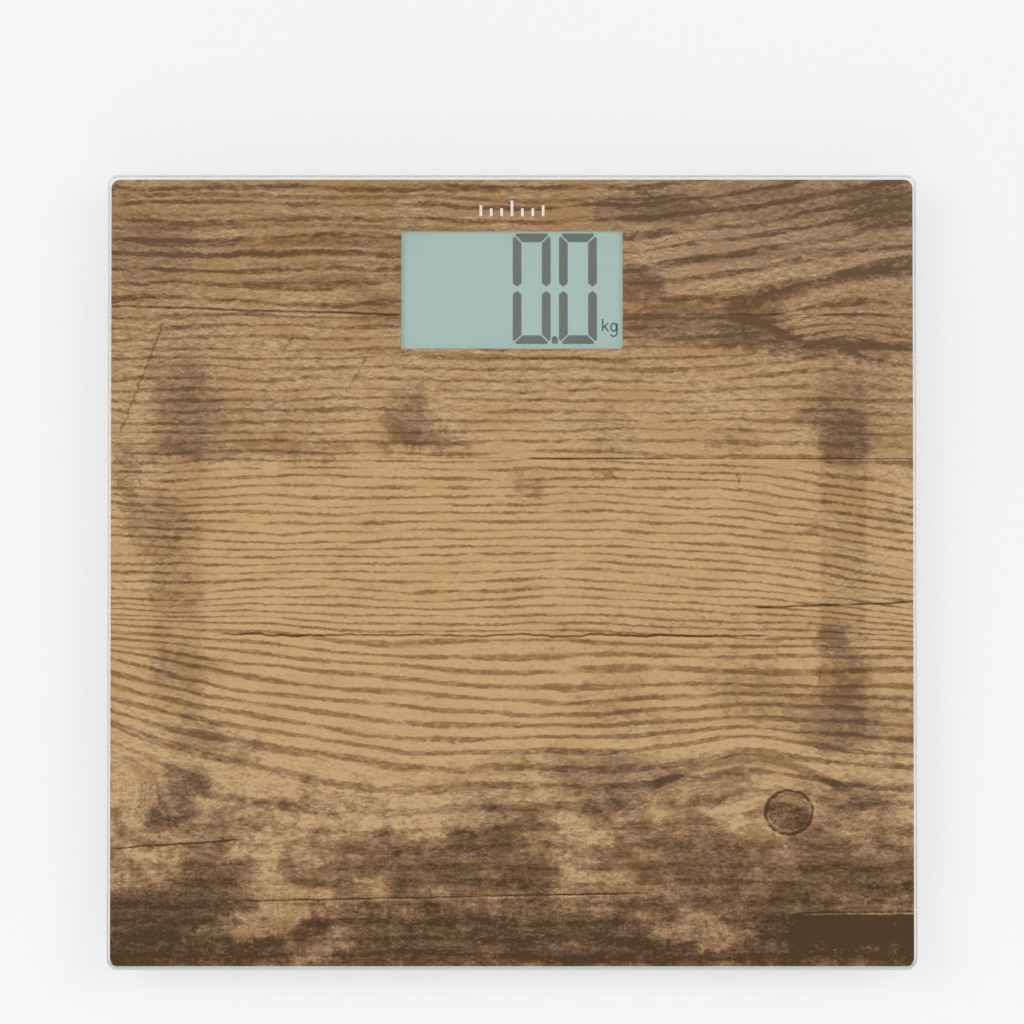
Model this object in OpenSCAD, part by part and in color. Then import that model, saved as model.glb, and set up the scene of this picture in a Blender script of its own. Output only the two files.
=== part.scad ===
// Digital bathroom scale. A square glass platform with a printed film under it stands on four
// load-cell feet. A housing under the glass holds the liquid-crystal display, the circuit
// board, a coin cell behind a hinged door, and the button that picks the unit of weight.
// The origin is on the floor under the middle of the platform. +Z is up, and +Y points to the
// edge that carries the display, so a person stands facing +Y.

/* [Glass platform] */
// Side of the square platform
glass_side = 303; // [298:1:320]
// Thickness of the tempered glass
glass_t = 6; // [5:0.5:8]
// Radius of the platform's corners, seen from above
glass_corner = 4; // [2:0.5:12]
// Ground bevel round the top and bottom edges
glass_bevel = 0.8; // [0.3:0.1:1.5]
// Bare margin of glass round the printed film
film_margin = 1.2; // [0.8:0.1:3]
// Height of the glass's underside above the floor
stand_h = 15; // [14.5:0.5:17]

/* [Display] */
// Width of the clear window in the film
window_w = 83; // [78:1:84]
// Depth of the clear window in the film
window_d = 45; // [40:1:46]
// Distance of the window's centre from the platform's centre
window_y = 108; // [106:0.5:110]
// Width of the liquid-crystal panel
lcd_w = 88; // [86:1:89]
// Depth of the liquid-crystal panel
lcd_d = 50; // [48:1:50]

/* [Display housing] */
// Width of the housing
housing_w = 124; // [122:1:130]
// Depth of the housing
housing_d = 92; // [92:1:93]
// Radius of the housing's corners, seen from above
housing_corner = 8; // [5:1:10]
// Thickness of the housing's side walls
wall_t = 2; // [1.6:0.1:2.2]

/* [Feet] */
// Distance of each foot's axis from both centre lines of the platform
foot_at = 115; // [112:1:118]
// Radius of the flange that is glued under the glass
base_r = 27; // [26.5:0.5:28]
// Radius of the rubber pad
pad_r = 19; // [17:0.5:19]
// Side of the square load cell
cell_side = 34; // [33:0.5:34]
// Thickness of the load cell's steel
cell_t = 2.6; // [2:0.1:3]
// How far a foot sinks into its base at full load
foot_travel = 0.6; // [0.3:0.1:0.7]

/* [Battery and button] */
// Radius of the coin cell
coin_r = 10; // [9.5:0.5:10]
// Thickness of the coin cell
coin_t = 3.2; // [2.5:0.1:3.2]
// Radius of the unit button
button_r = 4; // [3:0.25:4.5]

/* [Hidden] */
$fn = 64;
eps = 0.01;
slip = 0.3; // clearance round a loose part

// Heights of the layers under the glass
film_t = 0.2;
tape_t = 0.6;
glass_z = stand_h;
film_z = glass_z - film_t;
tape_z = film_z - tape_t;
frame_top = tape_z;
roof_t = 1.4; // plate over the housing's cavity
roof_z = frame_top - roof_t;
plate_t = 1.6; // plate that closes the housing
cover_z = stand_h - 11.4;
seat_z = cover_z + plate_t; // where the frame's walls stand on the cover
window_lip = 0.6; // edge of the frame that lies over the display panel
lcd_top = frame_top - window_lip;
lcd_glass_t = 1.1;
lcd_ledge = 3.5; // strip of the front glass that carries the contacts
polariser_t = 0.2;
lcd_back = lcd_top - 2 * lcd_glass_t - polariser_t;
board_t = 1.6;
board_top = stand_h - 5.8;
board_z = board_top - board_t;

// Plan of the housing
housing_y = 91;
inner_w = housing_w - 2 * wall_t;
inner_d = housing_d - 2 * wall_t;
fence_t = 1.2; // wall that locates the display panel
board_w = 104;
board_y0 = 79.4;
board_y1 = 133;
tongue_x = [14, 46]; // part of the board that reaches the button
tongue_y = 55;
cover_screws_at = [for (sx = [-1, 1], y = [50.5, 91, 130.5]) [sx * 55.5, y]];
board_screws_at = [[-49, 86], [49, 86], [-49, 128], [49, 128], [42, 59]];

// Battery compartment
coin_at = [-26, 65.5];
door_x = [-42, -10];
door_y = [51.5, 77.5];
door_t = 1.4;
hinge_r = 1.05; // barrel along the door's edge
hinge_pin_r = 0.6;
hinge_at = [door_y[1] - 1.3, cover_z + 1.1]; // y and z of the door's axis
coin_z = cover_z + 2.3;
coin_cap_t = 0.2;
tub_t = 1.2;
tub_roof_z = cover_z + 6.2;
tub_top = tub_roof_z + 1;
contact_t = 0.25;

// Unit button
button_at = [30, 62];
button_travel = 0.4;
button_face_z = cover_z + 0.4;
button_flange_z = seat_z + 0.1;
switch_z = board_z - 1.2;

// Foot, from the floor up
pad_h = 3;
pad_proud = 2; // how far the rubber stands out of the foot
skirt_z = stand_h - 10;
base_top = film_z - 0.2; // a ring of adhesive fills the gap up to the film
base_roof_z = base_top - 1.8;
cell_top = base_roof_z - 1.6;
cell_z = cell_top - cell_t;
flange_z = skirt_z + 1.7;
rim_r = 22.4;
flange_r = 23.4;
boss_r = 6;

// Leads: three wires side by side, straight from each load cell to the board
wire_d = 1.2;
wire_pitch = 1.5;
wire_z = cell_top + 0.8;
lead_start = 11;
lead_slot = [5.4, 1.6];
front_port = [36, housing_y - housing_d / 2];
rear_port = [housing_w / 2, foot_at];
front_lead_y = board_y0 + 1.2; // rows of pads where the leads end
rear_lead_x = board_w / 2 - 2;

FEET = ["front_left", "front_right", "rear_left", "rear_right"];
FOOT_SX = [-1, 1, -1, 1];
FOOT_SY = [-1, -1, 1, 1];

// Where a foot's lead enters the housing
function port(i) = FOOT_SY[i] < 0
    ? [FOOT_SX[i] * front_port[0], front_port[1]]
    : [FOOT_SX[i] * rear_port[0], rear_port[1]];
function foot_pos(i) = [FOOT_SX[i] * foot_at, FOOT_SY[i] * foot_at];
function port_angle(i) = let (d = port(i) - foot_pos(i)) atan2(d[1], d[0]);
function port_distance(i) = norm(port(i) - foot_pos(i));
// Length of a lead from its foot's axis to its end on the board
function lead_length(i) = FOOT_SY[i] < 0
    ? port_distance(i) * (front_lead_y + foot_at) / (front_port[1] + foot_at)
    : foot_at - rear_lead_x;

// Spans of length, for box()
function about(at, half) = [at - half, at + half];
function along(at, a, b) = [at + a, at + b];
function foot_names(prefix) = [for (f = FEET) str(prefix, f)];
NODES = concat(
    ["glass_platform", "decor_film", "display_tape", "display_frame", "display_cover",
     "battery_door", "unit_button", "lcd_panel", "zebra_strip", "lcd_foam", "circuit_board",
     "controller_chip", "watch_crystal", "board_capacitors", "tact_switch", "coin_cell",
     "contact_positive", "contact_negative", "cover_screws", "board_screws",
     "base_adhesive", "rating_label"],
    foot_names("sensor_base_"), foot_names("load_cell_"), foot_names("strain_gauge_"),
    foot_names("foot_cap_"), foot_names("foot_pad_"), foot_names("sensor_lead_"),
    foot_names("cable_duct_"));
node = "all";

// ---------------------------------------------------------------- shared shapes

module rounded_square(w, d, r) {
    square([w - 2 * r, d], center = true);
    square([w, d - 2 * r], center = true);
    for (sx = [-1, 1], sy = [-1, 1])
        translate([sx * (w / 2 - r), sy * (d / 2 - r)]) circle(r);
}

// Half of a bevelled edge's section, from a wall at -reach to the edge at 0
function edge_section(reach, t, top, bottom) = concat(
    [[-reach, 0]],
    bottom > 0 ? [[-bottom, 0], [0, bottom]] : [[0, 0]],
    top > 0 ? [[0, t - top], [-top, t]] : [[0, t]],
    [[-reach, t]]);

// Flat slab with round corners and a bevel round its top and bottom edges
module bevelled_slab(w, d, t, r, top, bottom) {
    for (a = [0, 180]) {
        rotate(a) translate([w / 2, 0, 0]) rotate([90, 0, 0])
            linear_extrude(d - 2 * r, center = true)
                polygon(edge_section(w / 2, t, top, bottom));
        rotate(a + 90) translate([d / 2, 0, 0]) rotate([90, 0, 0])
            linear_extrude(w - 2 * r, center = true)
                polygon(edge_section(d / 2, t, top, bottom));
    }
    for (sx = [-1, 1], sy = [-1, 1])
        translate([sx * (w / 2 - r), sy * (d / 2 - r), 0]) rotate_extrude()
            translate([r, 0]) polygon(edge_section(r, t, top, bottom));
}

module box(x, y, z) {
    translate([x[0], y[0], z[0]]) cube([x[1] - x[0], y[1] - y[0], z[1] - z[0]]);
}

module drill(at, r, z) {
    translate([at[0], at[1], z[0]]) cylinder(r = r, h = z[1] - z[0]);
}

module at_foot(i) {
    translate(concat(foot_pos(i), 0)) rotate(port_angle(i)) children();
}

// Room for a lead along the local X axis
module lead_passage(x0, x1) {
    box([x0, x1], about(0, lead_slot[0] / 2), about(wire_z, lead_slot[1] / 2));
}

// Cross-head screw whose head lies below the joint at z = 0 and whose shank points up
module screw(head_r, head_h, shank_r, shank_h) {
    difference() {
        union() {
            translate([0, 0, -head_h]) cylinder(r1 = head_r * 0.8, r2 = head_r, h = head_h * 0.4);
            translate([0, 0, -head_h * 0.6]) cylinder(r = head_r, h = head_h * 0.6);
            cylinder(r = shank_r, h = shank_h - shank_r);
            translate([0, 0, shank_h - shank_r])
                cylinder(r1 = shank_r, r2 = shank_r * 0.3, h = shank_r);
        }
        for (a = [0, 90])
            rotate(a) translate([0, 0, -head_h])
                cube([head_r * 1.1, head_r * 0.28, head_h * 1.2], center = true);
    }
}

// ---------------------------------------------------------------- platform

module glass_platform() {
    color("#dbe8e2", 0.4) translate([0, 0, glass_z])
        bevelled_slab(glass_side, glass_side, glass_t, glass_corner, glass_bevel, glass_bevel);
}

module decor_film() {
    side = glass_side - 2 * film_margin;
    color("#b08b5e") translate([0, 0, film_z]) linear_extrude(film_t) difference() {
        rounded_square(side, side, max(1, glass_corner - film_margin / 2));
        translate([0, window_y]) square([window_w, window_d], center = true);
    }
}

// ---------------------------------------------------------------- display housing

module display_tape() {
    color("#2b2b2b") translate([0, 0, tape_z]) linear_extrude(tape_t) difference() {
        translate([0, housing_y]) rounded_square(housing_w - 4, housing_d - 4, housing_corner - 2);
        translate([0, window_y]) square([lcd_w - 3, lcd_d - 3], center = true);
    }
}

module display_frame() {
    color("#26272a") difference() {
        union() {
            translate([0, housing_y, seat_z]) linear_extrude(roof_z - seat_z) difference() {
                rounded_square(housing_w, housing_d, housing_corner);
                rounded_square(inner_w, inner_d, housing_corner - wall_t);
            }
            translate([0, housing_y, roof_z]) linear_extrude(roof_t)
                rounded_square(housing_w, housing_d, housing_corner);
            translate([0, window_y, roof_z - 1.8]) linear_extrude(1.8 + eps)
                square([lcd_w + 0.8 + 2 * fence_t, lcd_d + 0.8 + 2 * fence_t], center = true);
            for (p = cover_screws_at) drill(p, 3, [seat_z + 1.8, roof_z + eps]);
            for (p = board_screws_at) drill(p, 2.2, [board_top, roof_z + eps]);
        }
        translate([0, window_y, roof_z - 2]) linear_extrude(2 + roof_t - window_lip)
            square([lcd_w + 0.8, lcd_d + 0.8], center = true);
        translate([0, window_y, roof_z]) linear_extrude(roof_t + 1)
            square([lcd_w - 3, lcd_d - 3], center = true);
        for (p = cover_screws_at) drill(p, 1.05, [seat_z + 1, roof_z - 0.4]);
        for (p = board_screws_at) drill(p, 0.9, [board_top - 1, roof_z - 0.4]);
        for (i = [0:3]) at_foot(i) lead_passage(port_distance(i) - 4.5, lead_length(i) + 1.5);
    }
}

// Scoop in the cover's face, where a fingertip reaches the latch
module latch_scoop() {
    box(about(coin_at[0], 7), [door_y[0] - 3, door_y[0] + eps],
        [cover_z - 1, cover_z + 0.9]);
}

module battery_tub() {
    difference() {
        box(door_x + [-tub_t, tub_t], door_y + [-tub_t, tub_t], [cover_z + eps, tub_top]);
        box(door_x, door_y, [cover_z - 1, tub_roof_z]);
    }
    difference() {
        drill(coin_at, coin_r + 1.2, [coin_z - 0.5, tub_roof_z + eps]);
        drill(coin_at, coin_r + 0.2, [coin_z - 1, tub_roof_z]);
        box([coin_at[0] + 8, coin_at[0] + 12], about(coin_at[1], 2.6), [coin_z - 1, tub_roof_z]);
        box(about(coin_at[0], 6.5), about(coin_at[1], 12), [coin_z - 1, tub_roof_z]);
    }
}

module display_cover() {
    color("#2b2c2f") difference() {
        union() {
            translate([0, housing_y, cover_z]) difference() {
                bevelled_slab(housing_w, housing_d, plate_t, housing_corner, 0, 0.8);
                translate([0, -housing_y, -cover_z])
                    box(door_x, door_y, [cover_z - 1, seat_z + 1]);
            }
            translate([0, housing_y, seat_z - eps]) linear_extrude(1.2) difference() {
                rounded_square(inner_w - 0.4, inner_d - 0.4, housing_corner - wall_t - 0.2);
                rounded_square(inner_w - 2.8, inner_d - 2.8, housing_corner - wall_t - 1.4);
            }
            for (p = cover_screws_at) drill(p, 3.2, [seat_z - eps, seat_z + 1.8]);
            drill(button_at, button_r + 2.6, [seat_z - eps, seat_z + 1]);
            battery_tub();
        }
        for (p = cover_screws_at) {
            drill(p, 2.5, [cover_z - 1, cover_z + 1.9]);
            drill(p, 1.3, [cover_z - 1, seat_z + 3]);
        }
        drill(button_at, button_r + slip, [cover_z - 1, seat_z + 2]);
        drill(button_at, button_r + 1.6, [seat_z, seat_z + 2]);
        latch_scoop();
        hinge_rod(hinge_pin_r + 0.05, door_x + [-1.1, 1.1]);
        for (x = [[-28.2, -23.8], [-13.8, -11.2]])
            box(x, [door_y[1] - 1, door_y[1] + tub_t + 1], [tub_roof_z - 0.5, tub_roof_z]);
    }
}

// Rod along the door's axis
module hinge_rod(r, x) {
    translate([x[0], hinge_at[0], hinge_at[1]]) rotate([0, 90, 0])
        cylinder(r = r, h = x[1] - x[0]);
}

module battery_door() {
    ends = door_x + [0.25, -0.25];
    latch_x = about(coin_at[0], 5);
    color("#333438") difference() {
        union() {
            box(ends, [door_y[0] + 0.35, hinge_at[0]], [cover_z, cover_z + door_t]);
            hinge_rod(hinge_r, ends);
            hinge_rod(hinge_pin_r, door_x + [-1, 1]);
            // Folded spring finger of the latch, with its nose
            box(latch_x, along(door_y[0], 2.4, 3.3), [cover_z + 1, cover_z + 4.6]);
            box(latch_x, along(door_y[0], 0.8, 3.3), [cover_z + 3.8, cover_z + 4.6]);
            box(latch_x, along(door_y[0], 0.8, 1.6), [cover_z + 0.2, cover_z + 4.6]);
            box(about(coin_at[0], 3), along(door_y[0], 0.45, 1), [cover_z + 2, cover_z + 2.8]);
            // Ribs that hold the coin cell up
            for (x = [-5, 0, 5])
                box(about(coin_at[0] + x, 0.5), about(coin_at[1], 7.5),
                    [cover_z + 1, coin_z - 0.05]);
        }
        // Gap that lets the finger bend
        box(latch_x + [-0.5, 0.5], along(door_y[0], 1.6, 2.4), [cover_z - 1, cover_z + 3.8]);
        // Grip lines
        for (k = [0:3])
            box(about(coin_at[0], 6), along(door_y[0] + 5 + 1.6 * k, 0, 0.7),
                [cover_z - 1, cover_z + 0.3]);
    }
}

module unit_button() {
    color("#8c9094") translate(concat(button_at, 0)) difference() {
        union() {
            translate([0, 0, button_face_z]) cylinder(r1 = button_r - 0.3, r2 = button_r, h = 0.3);
            drill([0, 0], button_r, [button_face_z + 0.3, button_flange_z]);
            drill([0, 0], button_r + 1.2, [button_flange_z, button_flange_z + 0.6]);
            drill([0, 0], 1, [button_flange_z + 0.5, switch_z + 0.4]);
        }
        translate([0, 0, button_face_z - 9.6]) sphere(r = 10);
    }
}

module rating_label() {
    color("#c9cbcc") translate([0, 106, cover_z - 0.1]) linear_extrude(0.1)
        rounded_square(64, 32, 2);
}

// ---------------------------------------------------------------- display and electronics

module lcd_panel() {
    color("#a5bcb6") translate([0, window_y, 0]) {
        translate([0, 0, lcd_top - lcd_glass_t / 2])
            cube([lcd_w, lcd_d, lcd_glass_t], center = true);
        box([-lcd_w / 2, lcd_w / 2], [-lcd_d / 2 + lcd_ledge, lcd_d / 2],
            [lcd_back + polariser_t, lcd_top - lcd_glass_t + eps]);
        box([-lcd_w / 2 + 1, lcd_w / 2 - 1], [-lcd_d / 2 + lcd_ledge + 1, lcd_d / 2 - 1],
            [lcd_back, lcd_back + polariser_t + eps]);
    }
}

module zebra_strip() {
    y = window_y - lcd_d / 2 + 0.7;
    color("#b9768a") box([-41, 41], [y, y + 2], [board_top, lcd_top - lcd_glass_t]);
}

module lcd_foam() {
    y = window_y + lcd_d / 2 - 6;
    color("#3a3a3c") box([-40, 40], [y, y + 3], [board_top, lcd_back]);
}

module circuit_board() {
    color("#1e6a3c") translate([0, 0, board_z]) linear_extrude(board_t) difference() {
        union() {
            translate([-board_w / 2, board_y0]) square([board_w, board_y1 - board_y0]);
            translate([tongue_x[0], tongue_y]) square([tongue_x[1] - tongue_x[0], 30]);
        }
        for (p = board_screws_at) translate(p) circle(1.2);
    }
}

// Black resin over the bonded controller
module controller_chip() {
    color("#151515") translate([8, 104, board_z]) mirror([0, 0, 1]) {
        cylinder(r = 7, h = 0.7);
        translate([0, 0, 0.7 - eps]) cylinder(r1 = 6.4, r2 = 4.5, h = 0.7);
    }
}

module watch_crystal() {
    color("#c8ccd0") translate([26, 98, board_z - 1.05]) rotate([0, 90, 0]) {
        cylinder(r = 1, h = 6);
        translate([0, 0, 6 - eps]) cylinder(r = 0.7, h = 0.6);
    }
}

module board_capacitors() {
    color("#b38b5c") for (k = [0:5])
        translate([-34 + 7 * k, 122, board_z - 0.6]) cube([2, 1.25, 1.2], center = true);
    color("#b38b5c") for (k = [0:3])
        translate([-30, 92 + 5 * k, board_z - 0.6]) cube([1.25, 2, 1.2], center = true);
}

module tact_switch() {
    color("#2a2a2a") translate(concat(button_at, 0)) difference() {
        box([-3, 3], [-3, 3], [switch_z, board_z]);
        drill([0, 0], 1.3, [switch_z - 1, board_z - 0.2]);
    }
    color("#c8ccd0") for (sx = [-1, 1], sy = [-1, 1])
        translate(concat(button_at + [sx * 3.4, sy * 2], board_z - 0.1))
            cube([0.8, 0.9, 0.2], center = true);
}

module coin_cell() {
    color("#c3c6c8") translate([coin_at[0], coin_at[1], coin_z]) {
        translate([0, 0, 0.25]) cylinder(r = coin_r, h = coin_t - coin_cap_t - 0.25);
        cylinder(r1 = coin_r - 0.25, r2 = coin_r, h = 0.25 + eps);
        translate([0, 0, coin_t - coin_cap_t - eps]) cylinder(r = coin_r - 1.6, h = coin_cap_t);
    }
}

module contact_positive() {
    edge = coin_at[0] + coin_r + 0.05;
    z = [tub_roof_z - contact_t, tub_roof_z];
    color("#d6c078") {
        box([edge, edge + contact_t], about(coin_at[1], 2), [coin_z + 0.3, tub_roof_z]);
        box([edge, -11.4], about(coin_at[1], 2), z);
        box([-13.6, -11.4], [coin_at[1] - 2, board_y0 + 2.4], z);
        box([-13.6, -11.4], along(board_y0, 2.4 - contact_t, 2.4), [board_top, tub_roof_z]);
    }
}

module contact_negative() {
    z = [tub_roof_z - contact_t, tub_roof_z];
    color("#d6c078") {
        drill(coin_at, 1.6, [coin_z + coin_t + 0.02, tub_roof_z - contact_t + eps]);
        box(about(coin_at[0], 2), [coin_at[1] - 7, board_y0 + 2.4], z);
        box(about(coin_at[0], 2), along(board_y0, 2.4 - contact_t, 2.4), [board_top, tub_roof_z]);
    }
}

module cover_screws() {
    color("#b9bcc0") for (p = cover_screws_at)
        translate(concat(p, cover_z + 1.9)) screw(2.2, 1.5, 1, 6.6);
}

module board_screws() {
    color("#b9bcc0") for (p = board_screws_at)
        translate(concat(p, board_z)) screw(2, 1.2, 0.85, 4.6);
}

// ---------------------------------------------------------------- feet

module base_adhesive() {
    color("#d9d9d2") for (i = [0:3])
        at_foot(i) drill([0, 0], base_r - 1, [base_top, film_z]);
}

// Cup glued under the glass. It opens downwards and its lip holds the foot in.
module sensor_base(i) {
    color("#2f3033") at_foot(i) difference() {
        union() {
            rotate_extrude() polygon([
                [0, base_top], [base_r, base_top], [base_r, base_top - 1.6],
                [base_r - 1.4, base_top - 2.4], [base_r - 1.8, skirt_z + 0.6],
                [base_r - 2.4, skirt_z], [rim_r + slip, skirt_z], [rim_r + slip, skirt_z + 1],
                [flange_r + slip, skirt_z + 1.5], [flange_r + slip, base_roof_z],
                [0, base_roof_z]]);
            for (sy = [-1, 1]) box([-16, 16], about(sy * 14, 2.5), [cell_top, base_roof_z + eps]);
            for (sx = [-1, 1], sy = [-1, 1])
                drill([sx * 12.5, sy * 14], 1.5, [cell_z + 0.1, cell_top + eps]);
        }
        lead_passage(base_r - 7, base_r + 7);
    }
}

// Steel plate with a tongue that bends as the foot pushes on its middle
module load_cell(i) {
    color("#a9adb2") at_foot(i) translate([0, 0, cell_z]) linear_extrude(cell_t) difference() {
        rounded_square(cell_side, cell_side, 4);
        for (sy = [-1, 1]) translate([-0.7, sy * 6.8]) square([23.4, 1.6], center = true);
        translate([-11.6, 0]) square([1.6, 15.2], center = true);
        for (sx = [-1, 1], sy = [-1, 1]) translate([sx * 12.5, sy * 14]) circle(1.6);
        translate([-7.4, 0]) circle(1.4);
    }
}

module strain_gauge(i) {
    color("#f0f0ea") at_foot(i) translate([0, 0, cell_top]) linear_extrude(0.9)
        translate([7.5, 0]) rounded_square(7, 8.6, 1.5);
}

// Moving foot: a shallow cup whose middle boss pushes on the load cell's tongue
module foot_cap(i) {
    color("#3a3b3e") at_foot(i) {
        rotate_extrude() polygon([
            [0, pad_h], [pad_r + slip, pad_h], [pad_r + slip, pad_proud],
            [rim_r - 1, pad_proud], [rim_r, pad_proud + 1], [rim_r, flange_z],
            [flange_r, flange_z], [flange_r, flange_z + 0.9], [rim_r - 1.2, flange_z + 0.9],
            [rim_r - 1.2, pad_h + 1.4], [boss_r, pad_h + 1.4], [boss_r, cell_z - 0.6],
            [boss_r - 1.5, cell_z - 0.02], [0, cell_z - 0.02]]);
        for (a = [30:60:330]) rotate(a) translate([boss_r - 0.5, -0.6, pad_h + 1.4 - eps])
            cube([rim_r - boss_r - 0.3, 1.2, 2]);
    }
}

module foot_pad(i) {
    color("#6d7073") at_foot(i) difference() {
        rotate_extrude() polygon([
            [0, 0], [pad_r - 1.3, 0], [pad_r, 1.1], [pad_r, pad_h], [0, pad_h]]);
        for (r = [9, 14]) difference() {
            drill([0, 0], r + 0.6, [-1, 0.7]);
            drill([0, 0], r - 0.6, [-2, 1]);
        }
    }
}

// Three insulated wires that end in bare tips on the board
module sensor_lead(i) {
    color("#b63b32") at_foot(i) for (k = [-1:1]) translate([0, k * wire_pitch, 0]) {
        translate([lead_start, 0, wire_z]) rotate([0, 90, 0])
            cylinder(d = wire_d, h = lead_length(i) - lead_start + 0.3);
        drill([lead_length(i) - 0.3, 0], 0.4, [board_top, wire_z]);
    }
}

// Channel that covers a lead along the underside of the glass
module cable_duct(i) {
    start = base_r + 0.5;
    gap = FOOT_SY[i] < 0 ? 3.2 : 0.5;
    floor_z = wire_z - wire_d / 2 - 0.1;
    color("#2f3033") at_foot(i) translate([start, 0, 0]) rotate([90, 0, 90])
        linear_extrude(port_distance(i) - start - gap) polygon([
            [-5.2, film_z], [-5.2, film_z - 0.8], [-3.7, film_z - 0.8], [-3.7, floor_z + 0.2],
            [-2.7, floor_z - 0.8], [2.7, floor_z - 0.8], [3.7, floor_z + 0.2],
            [3.7, film_z - 0.8], [5.2, film_z - 0.8], [5.2, film_z],
            [2.7, film_z], [2.7, floor_z], [-2.7, floor_z], [-2.7, film_z]]);
}

// ---------------------------------------------------------------- nodes

function shown(name) = node == "all" || node == name;

if (shown("glass_platform")) glass_platform();
if (shown("decor_film")) decor_film();
if (shown("display_tape")) display_tape();
if (shown("display_frame")) display_frame();
if (shown("display_cover")) display_cover();
if (shown("battery_door")) battery_door();
if (shown("unit_button")) unit_button();
if (shown("lcd_panel")) lcd_panel();
if (shown("zebra_strip")) zebra_strip();
if (shown("lcd_foam")) lcd_foam();
if (shown("circuit_board")) circuit_board();
if (shown("controller_chip")) controller_chip();
if (shown("watch_crystal")) watch_crystal();
if (shown("board_capacitors")) board_capacitors();
if (shown("tact_switch")) tact_switch();
if (shown("coin_cell")) coin_cell();
if (shown("contact_positive")) contact_positive();
if (shown("contact_negative")) contact_negative();
if (shown("cover_screws")) cover_screws();
if (shown("board_screws")) board_screws();
if (shown("base_adhesive")) base_adhesive();
if (shown("rating_label")) rating_label();
for (i = [0:3]) {
    if (shown(str("sensor_base_", FEET[i]))) sensor_base(i);
    if (shown(str("load_cell_", FEET[i]))) load_cell(i);
    if (shown(str("strain_gauge_", FEET[i]))) strain_gauge(i);
    if (shown(str("foot_cap_", FEET[i]))) foot_cap(i);
    if (shown(str("foot_pad_", FEET[i]))) foot_pad(i);
    if (shown(str("sensor_lead_", FEET[i]))) sensor_lead(i);
    if (shown(str("cable_duct_", FEET[i]))) cable_duct(i);
}
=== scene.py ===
"""Bathroom scale with a glass platform over a wood-grain print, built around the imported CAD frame.

Names ending in _mm, and every place on the wood print, are in millimetres; all else is in metres.
"""
import math

import bmesh
import bpy
from mathutils import Matrix, Vector


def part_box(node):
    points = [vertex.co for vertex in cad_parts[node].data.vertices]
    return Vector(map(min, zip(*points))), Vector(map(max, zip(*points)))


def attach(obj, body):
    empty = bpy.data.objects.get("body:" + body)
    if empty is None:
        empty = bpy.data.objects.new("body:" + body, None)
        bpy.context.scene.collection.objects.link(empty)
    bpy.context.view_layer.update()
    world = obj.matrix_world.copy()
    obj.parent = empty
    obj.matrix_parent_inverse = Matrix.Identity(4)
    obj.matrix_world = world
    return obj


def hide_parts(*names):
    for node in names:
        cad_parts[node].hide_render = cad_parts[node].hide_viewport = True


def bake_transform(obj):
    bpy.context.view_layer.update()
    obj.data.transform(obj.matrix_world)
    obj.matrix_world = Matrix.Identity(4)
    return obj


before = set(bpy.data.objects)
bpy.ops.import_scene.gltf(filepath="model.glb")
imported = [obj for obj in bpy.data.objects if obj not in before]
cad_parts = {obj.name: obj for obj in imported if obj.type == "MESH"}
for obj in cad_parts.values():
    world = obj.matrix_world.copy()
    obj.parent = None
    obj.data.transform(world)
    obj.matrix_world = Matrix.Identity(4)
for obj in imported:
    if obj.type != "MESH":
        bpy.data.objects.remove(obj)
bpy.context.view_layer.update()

MM = 0.001
FEET = ("front_left", "front_right", "rear_left", "rear_right")
FOOT_AT_MM = 115.0  # feet from the middle, both ways
PLATE_LOW, PLATE_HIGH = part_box("glass_platform")
FILM_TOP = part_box("decor_film")[1].z
PANEL_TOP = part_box("lcd_panel")[1].z

scene = bpy.context.scene


# ---------------------------------------------------------------- camera

ELEVATION = math.radians(78.45)
LENS_MM = 1300.0
SENSOR_MM = 36.0
VIEW_WIDTH = 0.3835  # width that the frame covers at the platform
AIM_ABOVE_MIDDLE = 0.0222  # the platform sits a little below the middle of the frame


def make_camera():
    data = bpy.data.cameras.new("camera")
    data.lens = LENS_MM
    data.sensor_width = SENSOR_MM
    data.clip_start = 0.1
    data.clip_end = 60.0
    camera = bpy.data.objects.new("camera", data)
    scene.collection.objects.link(camera)
    back = Vector((0, -math.cos(ELEVATION), math.sin(ELEVATION)))
    target = Vector((0, AIM_ABOVE_MIDDLE, PLATE_HIGH.z))
    camera.location = target + back * (VIEW_WIDTH * LENS_MM / SENSOR_MM)
    camera.rotation_euler = (-back).to_track_quat("-Z", "Y").to_euler()
    scene.camera = camera


make_camera()


# ---------------------------------------------------------------- node trees

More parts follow.
